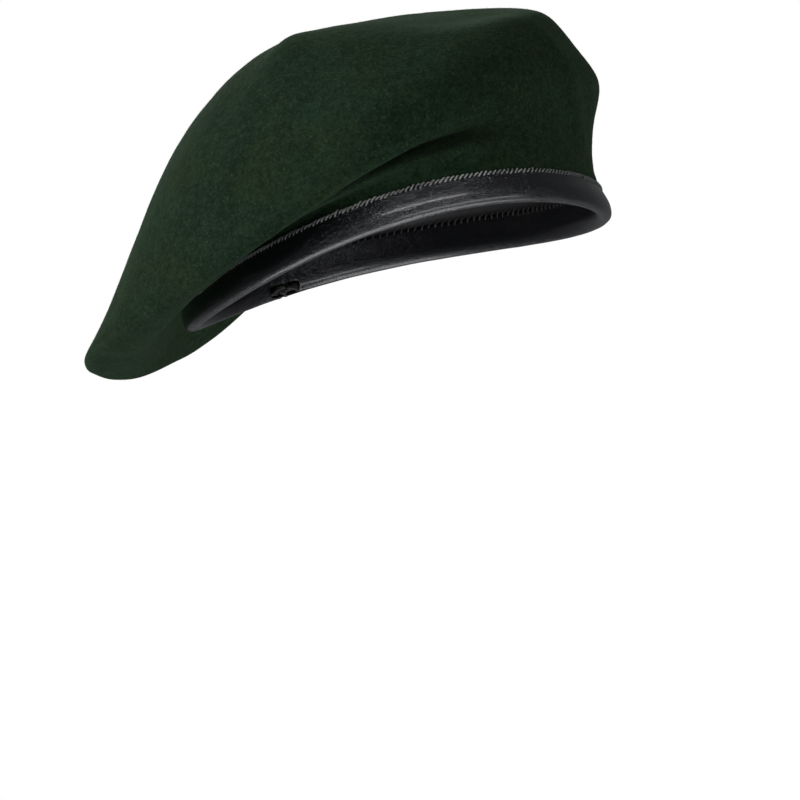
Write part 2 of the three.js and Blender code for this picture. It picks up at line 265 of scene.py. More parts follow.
def soft_noise(points, size, seed):
    """Smooth noise from -1 to 1 whose lumps are about size millimetres wide."""
    shift = Vector((seed * 7.3, seed * 3.1, seed * 5.7))
    flat = points.reshape(-1, 3)
    values = [noise.noise(Vector(p) / size + shift) for p in flat]
    return np.array(values).reshape(points.shape[:-1])


def turn_from(theta, degrees):
    """Signed angle from a place round the head, in degrees."""
    return np.degrees((theta - np.radians(degrees) + math.pi) % (2 * math.pi) - math.pi)


def run_length(path):
    """How far along a path each of its points lies."""
    return np.concatenate([[0], np.cumsum(np.linalg.norm(np.diff(path, axis=0), axis=1))])


# ---------------------------------------------------------------- finishes

class Wire:
    """A value on its way through a node tree; arithmetic on it adds Math nodes."""

    def __init__(self, graph, socket):
        self.graph, self.socket = graph, socket

    def math(self, operation, *others, first=None):
        values = [self if first is None else first, *others]
        return self.graph.node("ShaderNodeMath", dict(enumerate(values)), operation=operation)

    def __add__(self, other):
        return self.math("ADD", other)

    def __sub__(self, other):
        return self.math("SUBTRACT", other)

    def __rsub__(self, other):
        return self.math("SUBTRACT", self, first=other)

    def __mul__(self, other):
        return self.math("MULTIPLY", other)

    def __pow__(self, other):
        return self.math("POWER", other)

    __radd__ = __add__

    def between(self, low, high, to_low=0.0, to_high=1.0):
        """Eases from one value to another while this goes from low to high."""
        inputs = {
            "Value": self, "From Min": low, "From Max": high, "To Min": to_low, "To Max": to_high,
        }
        return self.graph.node("ShaderNodeMapRange", inputs, interpolation_type="SMOOTHSTEP")

    def wave(self, pitch):
        """A sine that repeats every pitch millimetres."""
        return (self * (2 * math.pi / (pitch * MM))).math("SINE")


class Graph:
    """A node tree under construction."""

    def __init__(self, tree):
        self.tree = tree

    def node(self, kind, inputs=None, output=0, **settings):
        """A new node's output. An input is a number, a colour or vector, or a wire."""
        made = self.tree.nodes.new(kind)
        for setting, value in settings.items():
            setattr(made, setting, value)
        for socket, value in (inputs or {}).items():
            if isinstance(value, Wire):
                self.tree.links.new(value.socket, made.inputs[socket])
            elif made.inputs[socket].type == "RGBA":
                made.inputs[socket].default_value = (*value, 1)
            else:
                made.inputs[socket].default_value = value
        return Wire(self, made.outputs[output])

    def vector(self, x, y, z):
        return self.node("ShaderNodeCombineXYZ", {0: x, 1: y, 2: z})


class Finish(Graph):
    """A procedural material under construction around one Principled shader."""

    def __init__(self, name, **fixed):
        self.material = bpy.data.materials.new(name)
        self.material.use_nodes = True
        self.tree = self.material.node_tree
        self.shader = self.tree.nodes["Principled BSDF"]
        for socket, value in fixed.items():
            self.shader.inputs[socket.replace("_", " ")].default_value = value

    def place(self):
        return self.node("ShaderNodeTexCoord", output="Object")

    def stored(self, name):
        return self.node("ShaderNodeAttribute", output="Fac", attribute_name=name)

    def cloth(self):
        return self.node("ShaderNodeUVMap", uv_map="cloth")

    def stretched(self, place, scale, turn=0.0):
        inputs = {"Vector": place, "Scale": scale, "Rotation": (0, 0, turn)}
        return self.node("ShaderNodeMapping", inputs)

    def speckle(self, place, size, detail=2.0, roughness=0.5, distortion=0.0):
        """Noise from 0 to 1 whose lumps are about size millimetres."""
        inputs = {
            "Vector": place, "Scale": 1 / (size * MM), "Detail": detail,
            "Roughness": roughness, "Distortion": distortion,
        }
        return self.node("ShaderNodeTexNoise", inputs)

    def cells(self, place, size):
        """Distance from the edges of cells about size millimetres wide."""
        inputs = {"Vector": place, "Scale": 1 / (size * MM)}
        return self.node("ShaderNodeTexVoronoi", inputs, feature="DISTANCE_TO_EDGE")

    def parts(self, place):
        """The X, Y and Z of a place."""
        first = self.node("ShaderNodeSeparateXYZ", {0: place})
        return [Wire(self, out) for out in first.socket.node.outputs]

    def blend(self, amount, one, two):
        """A colour from one at amount 0 to two at amount 1."""
        inputs = {0: amount, 6: one, 7: two}
        return self.node("ShaderNodeMix", inputs, output=2, data_type="RGBA")

    def colour(self, wire):
        self.tree.links.new(wire.socket, self.shader.inputs["Base Color"])

    def rough(self, wire):
        self.tree.links.new(wire.socket, self.shader.inputs["Roughness"])

    def relief(self, height, depth, strength=1.0):
        """Bumps of the given depth in millimetres where height goes from 0 to 1."""
        inputs = {"Height": height, "Distance": depth * MM, "Strength": strength}
        bump = self.node("ShaderNodeBump", inputs)
        self.tree.links.new(bump.socket, self.shader.inputs["Normal"])


def wool_felt():
    finish = Finish("bottle_green_felt", Roughness=0.95, Specular_IOR_Level=0.07,
                    Sheen_Weight=0.05, Sheen_Roughness=0.45, Sheen_Tint=(0.44, 0.74, 0.45, 1))
    place = finish.place()
    fibres = finish.speckle(place, 1.15, detail=3.0, roughness=0.65, distortion=0.6)
    fleck = finish.speckle(place, 0.5, detail=1.0)
    mottle = finish.speckle(place, 2.6, detail=3.0, roughness=0.6)
    patches = finish.speckle(place, 30, detail=3.0)
    brushed = finish.stretched(place, (0.35, 1, 0.5), 0.5)
    nap = finish.speckle(brushed, 15, detail=3.0, roughness=0.6)
    yellower = patches.between(0.36, 0.64)
    hue = finish.blend(yellower, (0.0018, 0.0068, 0.0029), (0.0026, 0.0074, 0.0023))
    lit_hue = finish.blend(yellower, (0.0084, 0.0205, 0.0099), (0.0102, 0.0207, 0.0086))
    grain = (fibres * 0.42 + mottle * 0.36 + nap * 0.22).between(0.36, 0.64)
    lit = finish.blend(grain, hue, lit_hue)
    dusty = finish.blend((fleck * fibres).between(0.30, 0.46) * 0.55, lit, (0.030, 0.050, 0.028))
    # painted shade: the felt's colour is darkened along the crease's valley
    finish.colour(finish.blend(finish.stored("crease_shade") * 0.7, dusty, (0.0008, 0.0016, 0.0010)))
    finish.relief(fibres * 0.65 + fleck * 0.25 + mottle * 0.5, 0.6, 0.85)
    return finish.material


def felt_fibre():
    finish = Finish("felt_fibre", Roughness=0.9, Specular_IOR_Level=0.1, Sheen_Weight=0.05)
    tone = finish.speckle(finish.place(), 3).between(0.35, 0.65)
    finish.colour(finish.blend(tone, (0.006, 0.015, 0.007), (0.020, 0.038, 0.020)))
    return finish.material


def grained_leather():
    finish = Finish("black_grained_leather", Specular_IOR_Level=0.55, Coat_Weight=0.35,
                    Coat_Roughness=0.16, Coat_Tint=(0.85, 0.91, 1, 1))
    cloth = finish.cloth()
    place = finish.place()
    pebbles = finish.cells(place, 0.62)
    fine = finish.speckle(place, 0.3)
    drawn = finish.stretched(cloth, (1, 0.22, 1))
    creases = finish.speckle(drawn, 1.4, detail=4.0, roughness=0.65)
    wrinkles = finish.speckle(finish.stretched(cloth, (1, 0.3, 1), 0.2), 2.4, detail=3.0)
    scuffs = finish.speckle(place, 6, detail=5.0, roughness=0.7)
    worn = scuffs.between(0.50, 0.74)
    finish.colour(finish.blend(worn * 0.6, (0.0022, 0.0024, 0.0036), (0.0062, 0.0068, 0.0088)))
    finish.rough(0.10 + worn * 0.09 + fine * 0.07)
    u, v, _ = finish.parts(cloth)
    edge = v.between(17.5 * MM, 20.5 * MM) * v.between(24.5 * MM, 21.5 * MM)
    puckers = (u.wave(STITCH_PITCH) * 0.5 + 0.5) * edge
    grain = pebbles.between(0.0, 0.28) * 0.5 + fine * 0.25
    finish.relief(grain * 1.5 + creases * 1.1 + wrinkles * 0.7 + puckers * 1.4, 0.085)
    return finish.material


def satin_lining():
    finish = Finish("black_satin_lining", Specular_IOR_Level=0.55, Sheen_Weight=0.25,
                    Sheen_Roughness=0.3, Sheen_Tint=(0.6, 0.6, 0.7, 1))
    cloth = finish.cloth()
    u, v, _ = finish.parts(cloth)
    twill = (u * 0.55 + v).wave(0.42) * 0.5 + 0.5
    yarns = finish.speckle(finish.stretched(cloth, (0.12, 1, 1)), 0.5, detail=3.0)
    rumple = finish.speckle(cloth, 9, detail=3.0)
    bright = yarns.between(0.3, 0.7)
    finish.colour(finish.blend(bright, (0.0085, 0.0085, 0.0100), (0.019, 0.019, 0.022)))
    finish.rough(0.34 + yarns * 0.22)
    finish.relief(twill * 0.25 + yarns * 0.3 + rumple * 2.2, 0.16, 0.6)
    return finish.material


def braided_cord():
    finish = Finish("black_braided_cord", Roughness=0.8, Specular_IOR_Level=0.3, Sheen_Weight=0.15)
    u, v, _ = finish.parts(finish.cloth())
    braid = (u + v).wave(1.5) * (u - v).wave(1.5) * 0.5 + 0.5
    finish.colour(finish.blend(braid, (0.008, 0.008, 0.009), (0.024, 0.024, 0.026)))
    finish.relief(braid, 0.3, 0.8)
    return finish.material


def buckram():
    finish = Finish("stiffened_buckram", Roughness=0.9, Specular_IOR_Level=0.25)
    x, _, z = finish.parts(finish.place())
    weave = x.wave(1.611) * z.wave(1.611) * 0.5 + 0.5
    finish.colour(finish.blend(weave, (0.020, 0.020, 0.021), (0.045, 0.044, 0.043)))
    finish.relief(weave, 0.2, 0.6)
    return finish.material


def black_enamel():
    finish = Finish("black_enamelled_brass", Metallic=0.35, Specular_IOR_Level=0.5,
                    Coat_Weight=0.3, Coat_Roughness=0.25)
    place = finish.place()
    chips = finish.speckle(place, 1.1, detail=4.0, roughness=0.7).between(0.60, 0.70)
    finish.colour(finish.blend(chips * 0.7, (0.012, 0.013, 0.014), (0.090, 0.075, 0.050)))
    finish.rough(0.30 + finish.speckle(place, 0.5) * 0.25)
    return finish.material


def woven_tape():
    finish = Finish("blank_woven_tape", Roughness=0.85, Specular_IOR_Level=0.3, Sheen_Weight=0.1)
    u, v, _ = finish.parts(finish.cloth())
    weave = u.wave(0.5) * v.wave(0.5) * 0.5 + 0.5
    soil = finish.speckle(finish.place(), 5, detail=3.0).between(0.4, 0.75)
    clean = finish.blend(weave, (0.50, 0.485, 0.44), (0.66, 0.645, 0.60))
    finish.colour(finish.blend(soil * 0.4, clean, (0.38, 0.36, 0.31)))
    finish.relief(weave, 0.12, 0.7)
    return finish.material


def sewing_thread(name, dark, light):
    """Twisted thread, with painted light over the wearer's right temple and forehead and painted
    shade elsewhere.
    """
    finish = Finish(name, Roughness=0.62, Specular_IOR_Level=0.35, Sheen_Weight=0.2)
    place = finish.place()
    ply = finish.speckle(place, 0.5)
    fade = finish.speckle(place, 11)
    x, y, _ = finish.parts(place)
    # painted light: the thread is made paler over the right temple and forehead; elsewhere painted
    # shade darkens it
    painted_light_zone = x.between(-0.074, -0.050) * x.between(0.035, 0.0) * y.between(-0.02, -0.05)
    tone = (ply * 0.6 + fade * 0.4).between(0.3, 0.7) * (painted_light_zone * 0.75 + 0.25)
    finish.colour(finish.blend(tone, dark, light))
    finish.relief(ply, 0.12, 0.8)
    return finish.material


# ---------------------------------------------------------------- repeated detail

def new_group(name, geometry, **inputs):
    """A geometry tree with named inputs: floats, vectors and whole numbers."""
    tree = bpy.data.node_groups.new(name, "GeometryNodeTree")
    tree.interface.new_socket(geometry, in_out="INPUT", socket_type="NodeSocketGeometry")
    for label, kind in inputs.items():
        label = label.replace("_", " ")
        tree.interface.new_socket(label, in_out="INPUT", socket_type=f"NodeSocket{kind}")
    tree.interface.new_socket("Geometry", in_out="OUTPUT", socket_type="NodeSocketGeometry")
    graph = Graph(tree)
    entry = tree.nodes.new("NodeGroupInput")
    return graph, {socket.name: Wire(graph, socket) for socket in entry.outputs}


def end_group(graph, instances):
    """Makes the instances real and smooth, and sends them out of the tree."""
    real = graph.node("GeometryNodeRealizeInstances", {"Geometry": instances})
    smooth = graph.node("GeometryNodeSetShadeSmooth", {0: real})
    leave = graph.tree.nodes.new("NodeGroupOutput")
    graph.tree.links.new(smooth.socket, leave.inputs[0])
    return graph.tree


def random_vector(graph, low, high, seed):
    """A different vector for each repeat, each part of it between those of low and high."""
    inputs = {0: graph.vector(*low), 1: graph.vector(*high), "Seed": seed}
    return graph.node("FunctionNodeRandomValue", inputs, data_type="FLOAT_VECTOR")


def turned_by(graph, rotation, angles):
    """A rotation with further turns about its own axes."""
    further = graph.node("FunctionNodeEulerToRotation", {0: angles})
    turns = {0: rotation, 1: further}
    return graph.node("FunctionNodeRotateRotation", turns, rotation_space="LOCAL")


def stitch_row_group():
    """One thread stitch every Pitch along a guide. A stitch's own X runs along the guide, its Y
    into the work, against the guide's stored outward vector, and its Z across both."""
    graph, given = new_group(
        "stitch_row", "Guide", Pitch="Float", Thread_Radius="Float", Start="Vector",
        Start_Handle="Vector", End_Handle="Vector", End="Vector", Jitter="Float", Seed="Int",
    )
    curve = graph.node("GeometryNodeMeshToCurve", {"Mesh": given["Guide"]})
    spacing = {"Curve": curve, "Length": given["Pitch"]}
    places = graph.node("GeometryNodeResampleCurve", spacing, mode="LENGTH")
    thread = graph.node("GeometryNodeCurvePrimitiveBezierSegment", {
        "Resolution": 7, "Start": given["Start"], "Start Handle": given["Start Handle"],
        "End Handle": given["End Handle"], "End": given["End"],
    }, mode="POSITION")
    circle = {"Resolution": 6, "Radius": given["Thread Radius"]}
    profile = graph.node("GeometryNodeCurvePrimitiveCircle", circle)
    sweep = {"Curve": thread, "Profile Curve": profile, "Fill Caps": True}
    stitch = graph.node("GeometryNodeCurveToMesh", sweep)
    outward = graph.node("GeometryNodeInputNamedAttribute", {"Name": "outward"},
                         data_type="FLOAT_VECTOR")
    inward = graph.node("ShaderNodeVectorMath", {0: outward, "Scale": -1.0}, operation="SCALE")
    ways = {0: graph.node("GeometryNodeInputTangent"), 1: inward}
    square = graph.node("FunctionNodeAxesToRotation", ways, primary_axis="X", secondary_axis="Y")
    tilt, stretch = given["Jitter"], given["Jitter"] * 0.8
    wobble = random_vector(graph, [tilt * -1.0] * 3, [tilt] * 3, given["Seed"])
    size = random_vector(graph, [1.0 - stretch] * 3, [1.0 + stretch] * 3, given["Seed"] + 1.0)
    row = graph.node("GeometryNodeInstanceOnPoints", {
        "Points": places, "Instance": stitch, "Rotation": turned_by(graph, square, wobble),
        "Scale": size,
    })
    return end_group(graph, row)


def fuzz_group():
    """Short loose fibres lying in all directions on a skin, each a flat bent ribbon."""
    graph, given = new_group(
        "felt_fuzz", "Skin", Density="Float", Length="Float", Width="Float", Seed="Int",
    )
    length, seed = given["Length"], given["Seed"]
    spread = {"Mesh": given["Skin"], "Density": given["Density"], "Seed": seed}
    points = graph.node("GeometryNodeDistributePointsOnFaces", spread)
    standing = Wire(graph, points.socket.node.outputs["Rotation"])
    spine = graph.node("GeometryNodeCurvePrimitiveBezierSegment", {
        "Resolution": 3, "Start": (0, 0, 0),
        "Start Handle": graph.vector(length * 0.1, 0.0, length * 0.35),
        "End Handle": graph.vector(length * 0.5, 0.0, 0.0),
        "End": graph.vector(length, length * 0.3, length * 0.12),
    }, mode="POSITION")
    across = {"Start": (0, 0, 0), "End": graph.vector(given["Width"], 0.0, 0.0)}
    profile = graph.node("GeometryNodeCurvePrimitiveLine", across)
    ribbon = graph.node("GeometryNodeCurveToMesh", {"Curve": spine, "Profile Curve": profile})
    least, most = (-0.25, -0.35, -math.pi), (0.25, 0.25, math.pi)
    turned = turned_by(graph, standing, random_vector(graph, least, most, seed))
    size = random_vector(graph, [0.45] * 3, [1.25] * 3, seed)
    fuzz = graph.node("GeometryNodeInstanceOnPoints", {
        "Points": points, "Instance": ribbon, "Rotation": turned, "Scale": size,
    })
    return end_group(graph, fuzz)


def settle(piece):
    """Puts what a piece's modifiers make into its mesh, and takes them off."""
    graph = bpy.context.evaluated_depsgraph_get()
    made = bpy.data.meshes.new_from_object(piece.evaluated_get(graph), depsgraph=graph)
    piece.modifiers.clear()
    piece.data = made
    return piece


def grow(piece, group, **inputs):
    """Runs a geometry tree over a piece and keeps the result."""
    modifier = piece.modifiers.new(group.name, "NODES")
    modifier.node_group = group
    sockets = {item.name: item.identifier for item in group.interface.items_tree}
    for label, value in inputs.items():
        modifier[sockets[label.replace("_", " ")]] = value
    bpy.context.view_layer.update()
    return settle(piece)


def sew(name, guide, outward, path, pitch, radius, seed, jitter=0.12, closed=False):
    """A row of stitches along a guide, with outward the way off the work at each guide point.
    path gives one stitch's start, two handles and end, in millimetres."""
    count = len(guide)
    edges = [(k, k + 1) for k in range(count - 1)] + ([(count - 1, 0)] if closed else [])
    piece = new_piece(name, guide, [], edges=edges)
    stored = piece.data.attributes.new("outward", "FLOAT_VECTOR", "POINT")
    stored.data.foreach_set("vector", np.asarray(outward, np.float32).ravel())
    start, first, second, end = ([part * MM for part in point] for point in path)
    return grow(
        piece, STITCH_ROW, Pitch=pitch * MM, Thread_Radius=radius * MM, Start=start,
        Start_Handle=first, End_Handle=second, End=end, Jitter=jitter, Seed=seed,
    )


def cut(piece, *tools):
    """Takes closed tool meshes away from a piece and deletes them."""
    for tool in tools:
        modifier = piece.modifiers.new("cut", "BOOLEAN")
        modifier.operation, modifier.object, modifier.solver = "DIFFERENCE", tool, "EXACT"
    bpy.context.view_layer.update()
    settle(piece)
    for tool in tools:
        bpy.data.objects.remove(tool)
    return piece


# ---------------------------------------------------------------- felt

def smooth_step(x):
    x = np.clip(x, 0, 1)
    return x * x * (3 - 2 * x)


def front_crease(theta, rows):
    """The crease where the crown folds over the wall, from the right temple to the front: how
    far the felt moves, and how much painted shade darkens its colour there."""
    angles, crease_rows = np.array(FRONT_CREASE, float).T
    degrees = np.degrees(theta) % 360
    above = rows[:, None] - np.interp(degrees, angles, crease_rows)[None, :]
    start, end = CREASE_ENDS
    reach = smooth_step((end - degrees) / 30) * smooth_step((degrees - start) / 20)
    lip = 1.7 * np.exp(-(((above - 0.55) / 0.52) ** 2))
    valley = -4.4 * np.exp(-(((above + 0.16) / 0.26) ** 2))
    # painted shade along the valley of the crease
    crease_shade = np.exp(-(((above + 0.22) / 0.34) ** 2))
    return reach * (lip + valley), reach * crease_shade


def board_edge(theta, rows):
    """The soft ridge where the front edge of the stiffening board shows through the felt."""
    edge_rows, angles = np.array(BOARD_EDGE, float).T
    middle = np.interp(rows, edge_rows, angles)[:, None]
    off = turn_from(theta[None, :], middle)
    reach = smooth_step((rows - 2.6) / 0.8) * smooth_step((6.9 - rows) / 1.2)
    ridge = 0.75 * np.exp(-((off / 3.4) ** 2)) - 0.5 * np.exp(-(((off + 8) / 4.5) ** 2))
    return reach[:, None] * ridge


def soft_corners(theta, rows):
    """Places where the felt stands out in a soft corner, or is pulled in."""
    total = np.zeros((len(rows), len(theta)))
    for angle, row, wide, tall, height in SOFT_CORNERS:
        off = turn_from(theta, angle) / wide
        total += height * np.exp(-(off[None, :] ** 2) - ((rows[:, None] - row) / tall) ** 2)
    return total


def crown_relief(theta, rows, points):
    """How far the felt stands in or out of its smooth shape, in millimetres."""
    above_band = smooth_step((rows - 2.4) / 1.6)[:, None]
    lumps = 0.55 * soft_noise(points, 40, 1) + 0.35 * soft_noise(points, 14, 2)
    relief = above_band * lumps + front_crease(theta, rows)[0] + board_edge(theta, rows)
    relief = relief + soft_corners(theta, rows)
    for angle in VENT_ANGLES.values():
        centre, _ = drape(crown_controls, np.radians([angle]), [VENT_ROW])
        flat = 1 - smooth_step((np.linalg.norm(points - centre[0, 0], axis=-1) - 4.5) / 8)
        relief = relief * (1 - flat) - VENT_SINK * flat
    return relief


def felt_skin(theta, rows, depth=0.0):
    """The felt's surface with all its relief, or a layer the given depth inside it."""
    points, normal = drape(crown_controls, theta, rows)
    return points + (crown_relief(theta, rows, points)[..., None] - depth) * normal


def row_steps(*spans):
    """Rows over spans that follow on, each given as its first row, last row and count."""
    return np.unique(np.concatenate([np.linspace(*span) for span in spans]))


def felt_crown():
    """The felted shell, with more rows where it is creased, and a hole for each vent."""
    rows = row_steps((0, 3, 26), (3, 5.2, 46), (5.2, CROWN_LAST_ROW, 66))
    inner_rows = row_steps((0, 4, 14), (4, 6.5, 16), (6.5, CROWN_LAST_ROW, 14))
    outside = felt_skin(ROUND, rows)
    inside = felt_skin(ROUND, inner_rows, FELT)
    hoops = np.concatenate([inside[::-1], outside])
    poles = [inside[-1].mean(0), outside[-1].mean(0)]
    crown = hoop_piece("felt_crown", hoops, poles)
    # painted shade along the crease, stored on the points for the felt's colour
    crease_shade = np.concatenate([np.zeros(inside.shape[:2]), front_crease(ROUND, rows)[1]])
    stored = crown.data.attributes.new("crease_shade", "FLOAT", "POINT")
    stored.data.foreach_set("value", np.append(crease_shade.ravel(), [0, 0]).astype(np.float32))
    punch = [(0, -2 * FELT), (VENT_HOLE, -2 * FELT), (VENT_HOLE, 2 * FELT), (0, 2 * FELT)]
    return cut(crown, *[on_felt("punch", punch, angle) for angle in VENT_ANGLES.values()])


def felt_fuzz():
    """Loose fibres over the outside of the crown."""
    rows = np.linspace(2.2, CROWN_LAST_ROW, 70)
    skin = felt_skin(ROUND[::2], rows, 0.02)
    columns = skin.shape[1]
    faces = [
        (i * columns + k, i * columns + (k + 1) % columns,
         (i + 1) * columns + (k + 1) % columns, (i + 1) * columns + k)
        for i in range(len(rows) - 1) for k in range(columns)
    ]
    piece = new_piece("felt_fuzz", skin.reshape(-1, 3), faces)
    return grow(piece, fuzz_group(), Density=FIBRES, Length=FIBRE_LENGTH * MM,
                Width=FIBRE_WIDTH * MM, Seed=5)


# ---------------------------------------------------------------- leather

def leather_section():
    """The folded leather's outline, anticlockwise, and the way out of it at each point."""
    samples = LEATHER_SAMPLES
    line = np.array(BINDING_LINE, float)
    ends = np.concatenate([[2 * line[0] - line[1]], line, [2 * line[-1] - line[-2]]])
    at = np.linspace(0, len(line) - 1, samples)
    first = np.minimum(at.astype(int), len(line) - 2)
    s = (at - first)[:, None]
    p0, p1, p2, p3 = ends[first], ends[first + 1], ends[first + 2], ends[first + 3]
    middle = 0.5 * (2 * p1 + (p2 - p0) * s + (2 * p0 - 5 * p1 + 4 * p2 - p3) * s**2
                    + (3 * p1 - p0 - 3 * p2 + p3) * s**3)
    tangent = np.gradient(middle, axis=0)
    tangent /= np.linalg.norm(tangent, axis=1, keepdims=True)
    side = np.stack([-tangent[:, 1], tangent[:, 0]], 1)
    from_end = np.minimum(np.arange(samples), 3)  # both edges are skived thin
    skived = np.minimum(1, 0.45 + 0.4 * from_end * from_end[::-1])
    half = LEATHER / 2 * skived[:, None]
    outline = np.concatenate([middle + side * half, (middle - side * half)[::-1]])[::-1]
    outward = np.concatenate([side, -side[::-1]])[::-1]
    return outline, outward


def leather_binding():
    """The folded strip, joined at the back, where its hoops crowd together to shape the join."""
    section, way_out = leather_section()
    near_join = BACK_AT + np.arcsinh(np.linspace(-30, 30, 61)) * 1.25
    turns = np.radians(np.concatenate([BACK_AT + 6 + np.arange(0, 348.25, 0.5), near_join]))
    turns = np.unique(np.round(turns % (2 * math.pi), 7))
    off = np.abs(turn_from(turns, BACK_AT)) * math.radians(1) * OPENING_X
    join = 0.22 * np.exp(-((off - 1) ** 2)) - 0.42 * np.exp(-((off / 0.22) ** 2))
    hoops = []
    for (out, z), (away, up) in zip(section, way_out):
        places = np.stack([turns * 84, 0 * turns + out * 3, 0 * turns + z], -1)
        rise = 0.10 * soft_noise(places, 9, 3) + join
        hoops.append(on_ring(turns, out + away * rise, z + up * rise))
    around = turns / (2 * math.pi) * GIRTH
    binding = hoop_piece("leather_binding", hoops, along=run_length(section), around=around)
    return cut(binding, knot_window())


def knot_window():
    """A rounded block where the binding's inner leaf is open for the knot."""
    bpy.ops.mesh.primitive_cube_add(size=1)
    window = bpy.context.object
    place = at_back(WINDOW_OUT, CORD_PLACE[1]) * MM
    bevel = window.modifiers.new("round", "BEVEL")
    bevel.width, bevel.segments = WINDOW_ROUND * MM, 4
    window.data.transform(Matrix.Diagonal([side * MM for side in WINDOW_SIZE] + [1]))
    window.data.transform(Matrix.Translation(Vector(place)))
    return window


def edge_stitches():
    """Overcast stitches over the top edge of the outer leaf, leather to felt."""
    guide = on_ring(ROUND, *OUTER_LEAF_TOP)
    outward = guide * (1 / OPENING_X**2, 1 / OPENING_Y**2, 0)
    path = [(-1.15, 0.45, -0.95), (-0.7, -0.5, -0.5), (0.5, -0.45, 0.75), (1.15, 0.95, 0.65)]
    return sew("overcast_stitches", guide, outward, path, STITCH_PITCH, 0.33, 3, jitter=0.2,
               closed=True)


def inner_stitches():
    """Overcast stitches over the top edge of the inner leaf, leather to lining."""
    guide = on_ring(ROUND[::-1], *INNER_LEAF_TOP)
    outward = guide * (-1 / OPENING_X**2, -1 / OPENING_Y**2, 0)
    path = [(-0.7, 0.1, -1.6), (-0.4, -0.7, -0.6), (0.3, -0.5, 1.2), (0.8, 0.95, 1.1)]
    return sew("lining_stitches", guide, outward, path, 3.1, 0.24, 8, closed=True)


def join_stitches():
    """Stitches that close the joint of the leather strip at the back."""
    outline, _ = leather_section()
    leaf = sorted([point for point in outline if point[0] > 2.0 and 2.5 < point[1] < 10.8],
                  key=lambda point: point[1])
    guide = np.array([at_back(out + 0.05, z) for out, z in leaf])
    outward = np.tile([0.0, 1.0, 0.0], (len(guide), 1))
    path = [(-0.55, 0.35, -1.5), (-0.3, -0.35, -0.8), (0.3, -0.35, 0.8), (0.55, 0.35, 1.5)]
    return sew("binding_join_stitches", guide, outward, path, STITCH_PITCH, 0.2, 4, jitter=0.08)


# ---------------------------------------------------------------- lining

def gathers(theta):
    """How deep the lining's gathers are round its seam with the tip, from 0 to 1."""
    swing = theta * 46 + 2.2 * np.sin(theta * 7 + 1) + 1.4 * np.sin(theta * 13)
    return (0.5 + 0.5 * np.sin(swing)) ** 1.5


def lining_pleats(theta, rows):
    """Gathers that deepen towards the seam with the tip, and lie flat behind the size label."""
    grow_up = np.clip((rows - 2.2) / 3.2, 0, 1)[:, None] ** 1.5
    beside = smooth_step((np.abs(turn_from(theta, BACK_AT)) - 8) / 7)[None, :]
    clear = np.maximum(beside, smooth_step((rows - 4.55) / 0.9)[:, None])
    return GATHER_DEPTH * grow_up * clear * gathers(theta)


def lining_side():
    """The gathered side of the lining, from inside the binding up to the tip."""
    rows = np.linspace(0, SIDE_LAST_ROW, 56)
    smooth, normal = drape(lining_controls, ROUND, rows)
    middle = smooth - lining_pleats(ROUND, rows)[..., None] * normal
    outer, inner = middle + normal * LINING / 2, (middle - normal * LINING / 2)[::-1]
    along = np.concatenate([rows, 2 * SIDE_LAST_ROW + 0.5 - rows[::-1]]) * ROW_OF_CLOTH
    return hoop_piece("satin_lining_side", np.concatenate([outer, inner]), along=along)


def lining_tip():
    """The oval tip of the lining, whose edge follows the gathers and smooths out inwards."""
    rows = np.linspace(TIP_FIRST_ROW, LINING_LAST_ROW, 44)
    smooth, normal = drape(lining_controls, ROUND, rows)
    shrink = np.clip(1 - (rows - TIP_FIRST_ROW) / 1.35, 0, 1)[:, None] ** 2
    middle = smooth - (GATHER_DEPTH * shrink * gathers(ROUND))[..., None] * normal
    outer, inner = middle + normal * LINING / 2, (middle - normal * LINING / 2)[::-1]
    poles = [inner[0].mean(0), outer[-1].mean(0)]
    along = np.concatenate([20 - rows[::-1], rows]) * ROW_OF_CLOTH
    return hoop_piece("satin_lining_tip", np.concatenate([inner, outer]), poles, along)


def tip_stitches():
    """The line of stitches that joins the side of the lining to its tip."""
    points, normal = drape(lining_controls, ROUND[::-1], [TIP_SEAM_ROW])
    guide = points[0] - normal[0] * (0.35 + 0.6 * GATHER_DEPTH * gathers(ROUND[::-1])[:, None])
    path = [(-0.9, 0.3, 0), (-0.5, -0.3, 0), (0.5, -0.3, 0), (0.9, 0.3, 0)]
    return sew("tip_seam_stitches", guide, -normal[0], path, 2.6, 0.18, 6, closed=True)


def laid_sheet(name, controls, angles, rows, depth, thickness, relief=None):
    """A thin sheet lying a given depth under a surface, between two angles and two rows."""
    theta = np.radians(np.linspace(*angles, 49))
    levels = np.linspace(*rows, 33)
    points, normal = drape(controls, theta, levels)
    shift = 0 if relief is None else relief(theta, levels, points)[..., None]
    front = points + (shift - depth) * normal
    back = front - thickness * normal
    tall, wide = front.shape[:2]
    faces, uvs = [], []
    flat_u, flat_v = run_length(front[0]) * MM, run_length(front[:, 0]) * MM

    def face(*corners):
        faces.append([(side * tall + i) * wide + k for side, i, k in corners])
        uvs.extend([(flat_u[k], flat_v[i]) for _, i, k in corners])

    for i in range(tall - 1):
        for k in range(wide - 1):
            face((0, i, k), (0, i, k + 1), (0, i + 1, k + 1), (0, i + 1, k))
            face((1, i, k), (1, i + 1, k), (1, i + 1, k + 1), (1, i, k + 1))
        face((0, i, 0), (0, i + 1, 0), (1, i + 1, 0), (1, i, 0))
        face((0, i + 1, wide - 1), (0, i, wide - 1), (1, i, wide - 1), (1, i + 1, wide - 1))
    for k in range(wide - 1):
        face((0, 0, k), (1, 0, k), (1, 0, k + 1), (0, 0, k + 1))
        face((0, tall - 1, k + 1), (1, tall - 1, k + 1), (1, tall - 1, k), (0, tall - 1, k))
    points = np.concatenate([front.reshape(-1, 3), back.reshape(-1, 3)])
    return new_piece(name, points, faces, uvs)


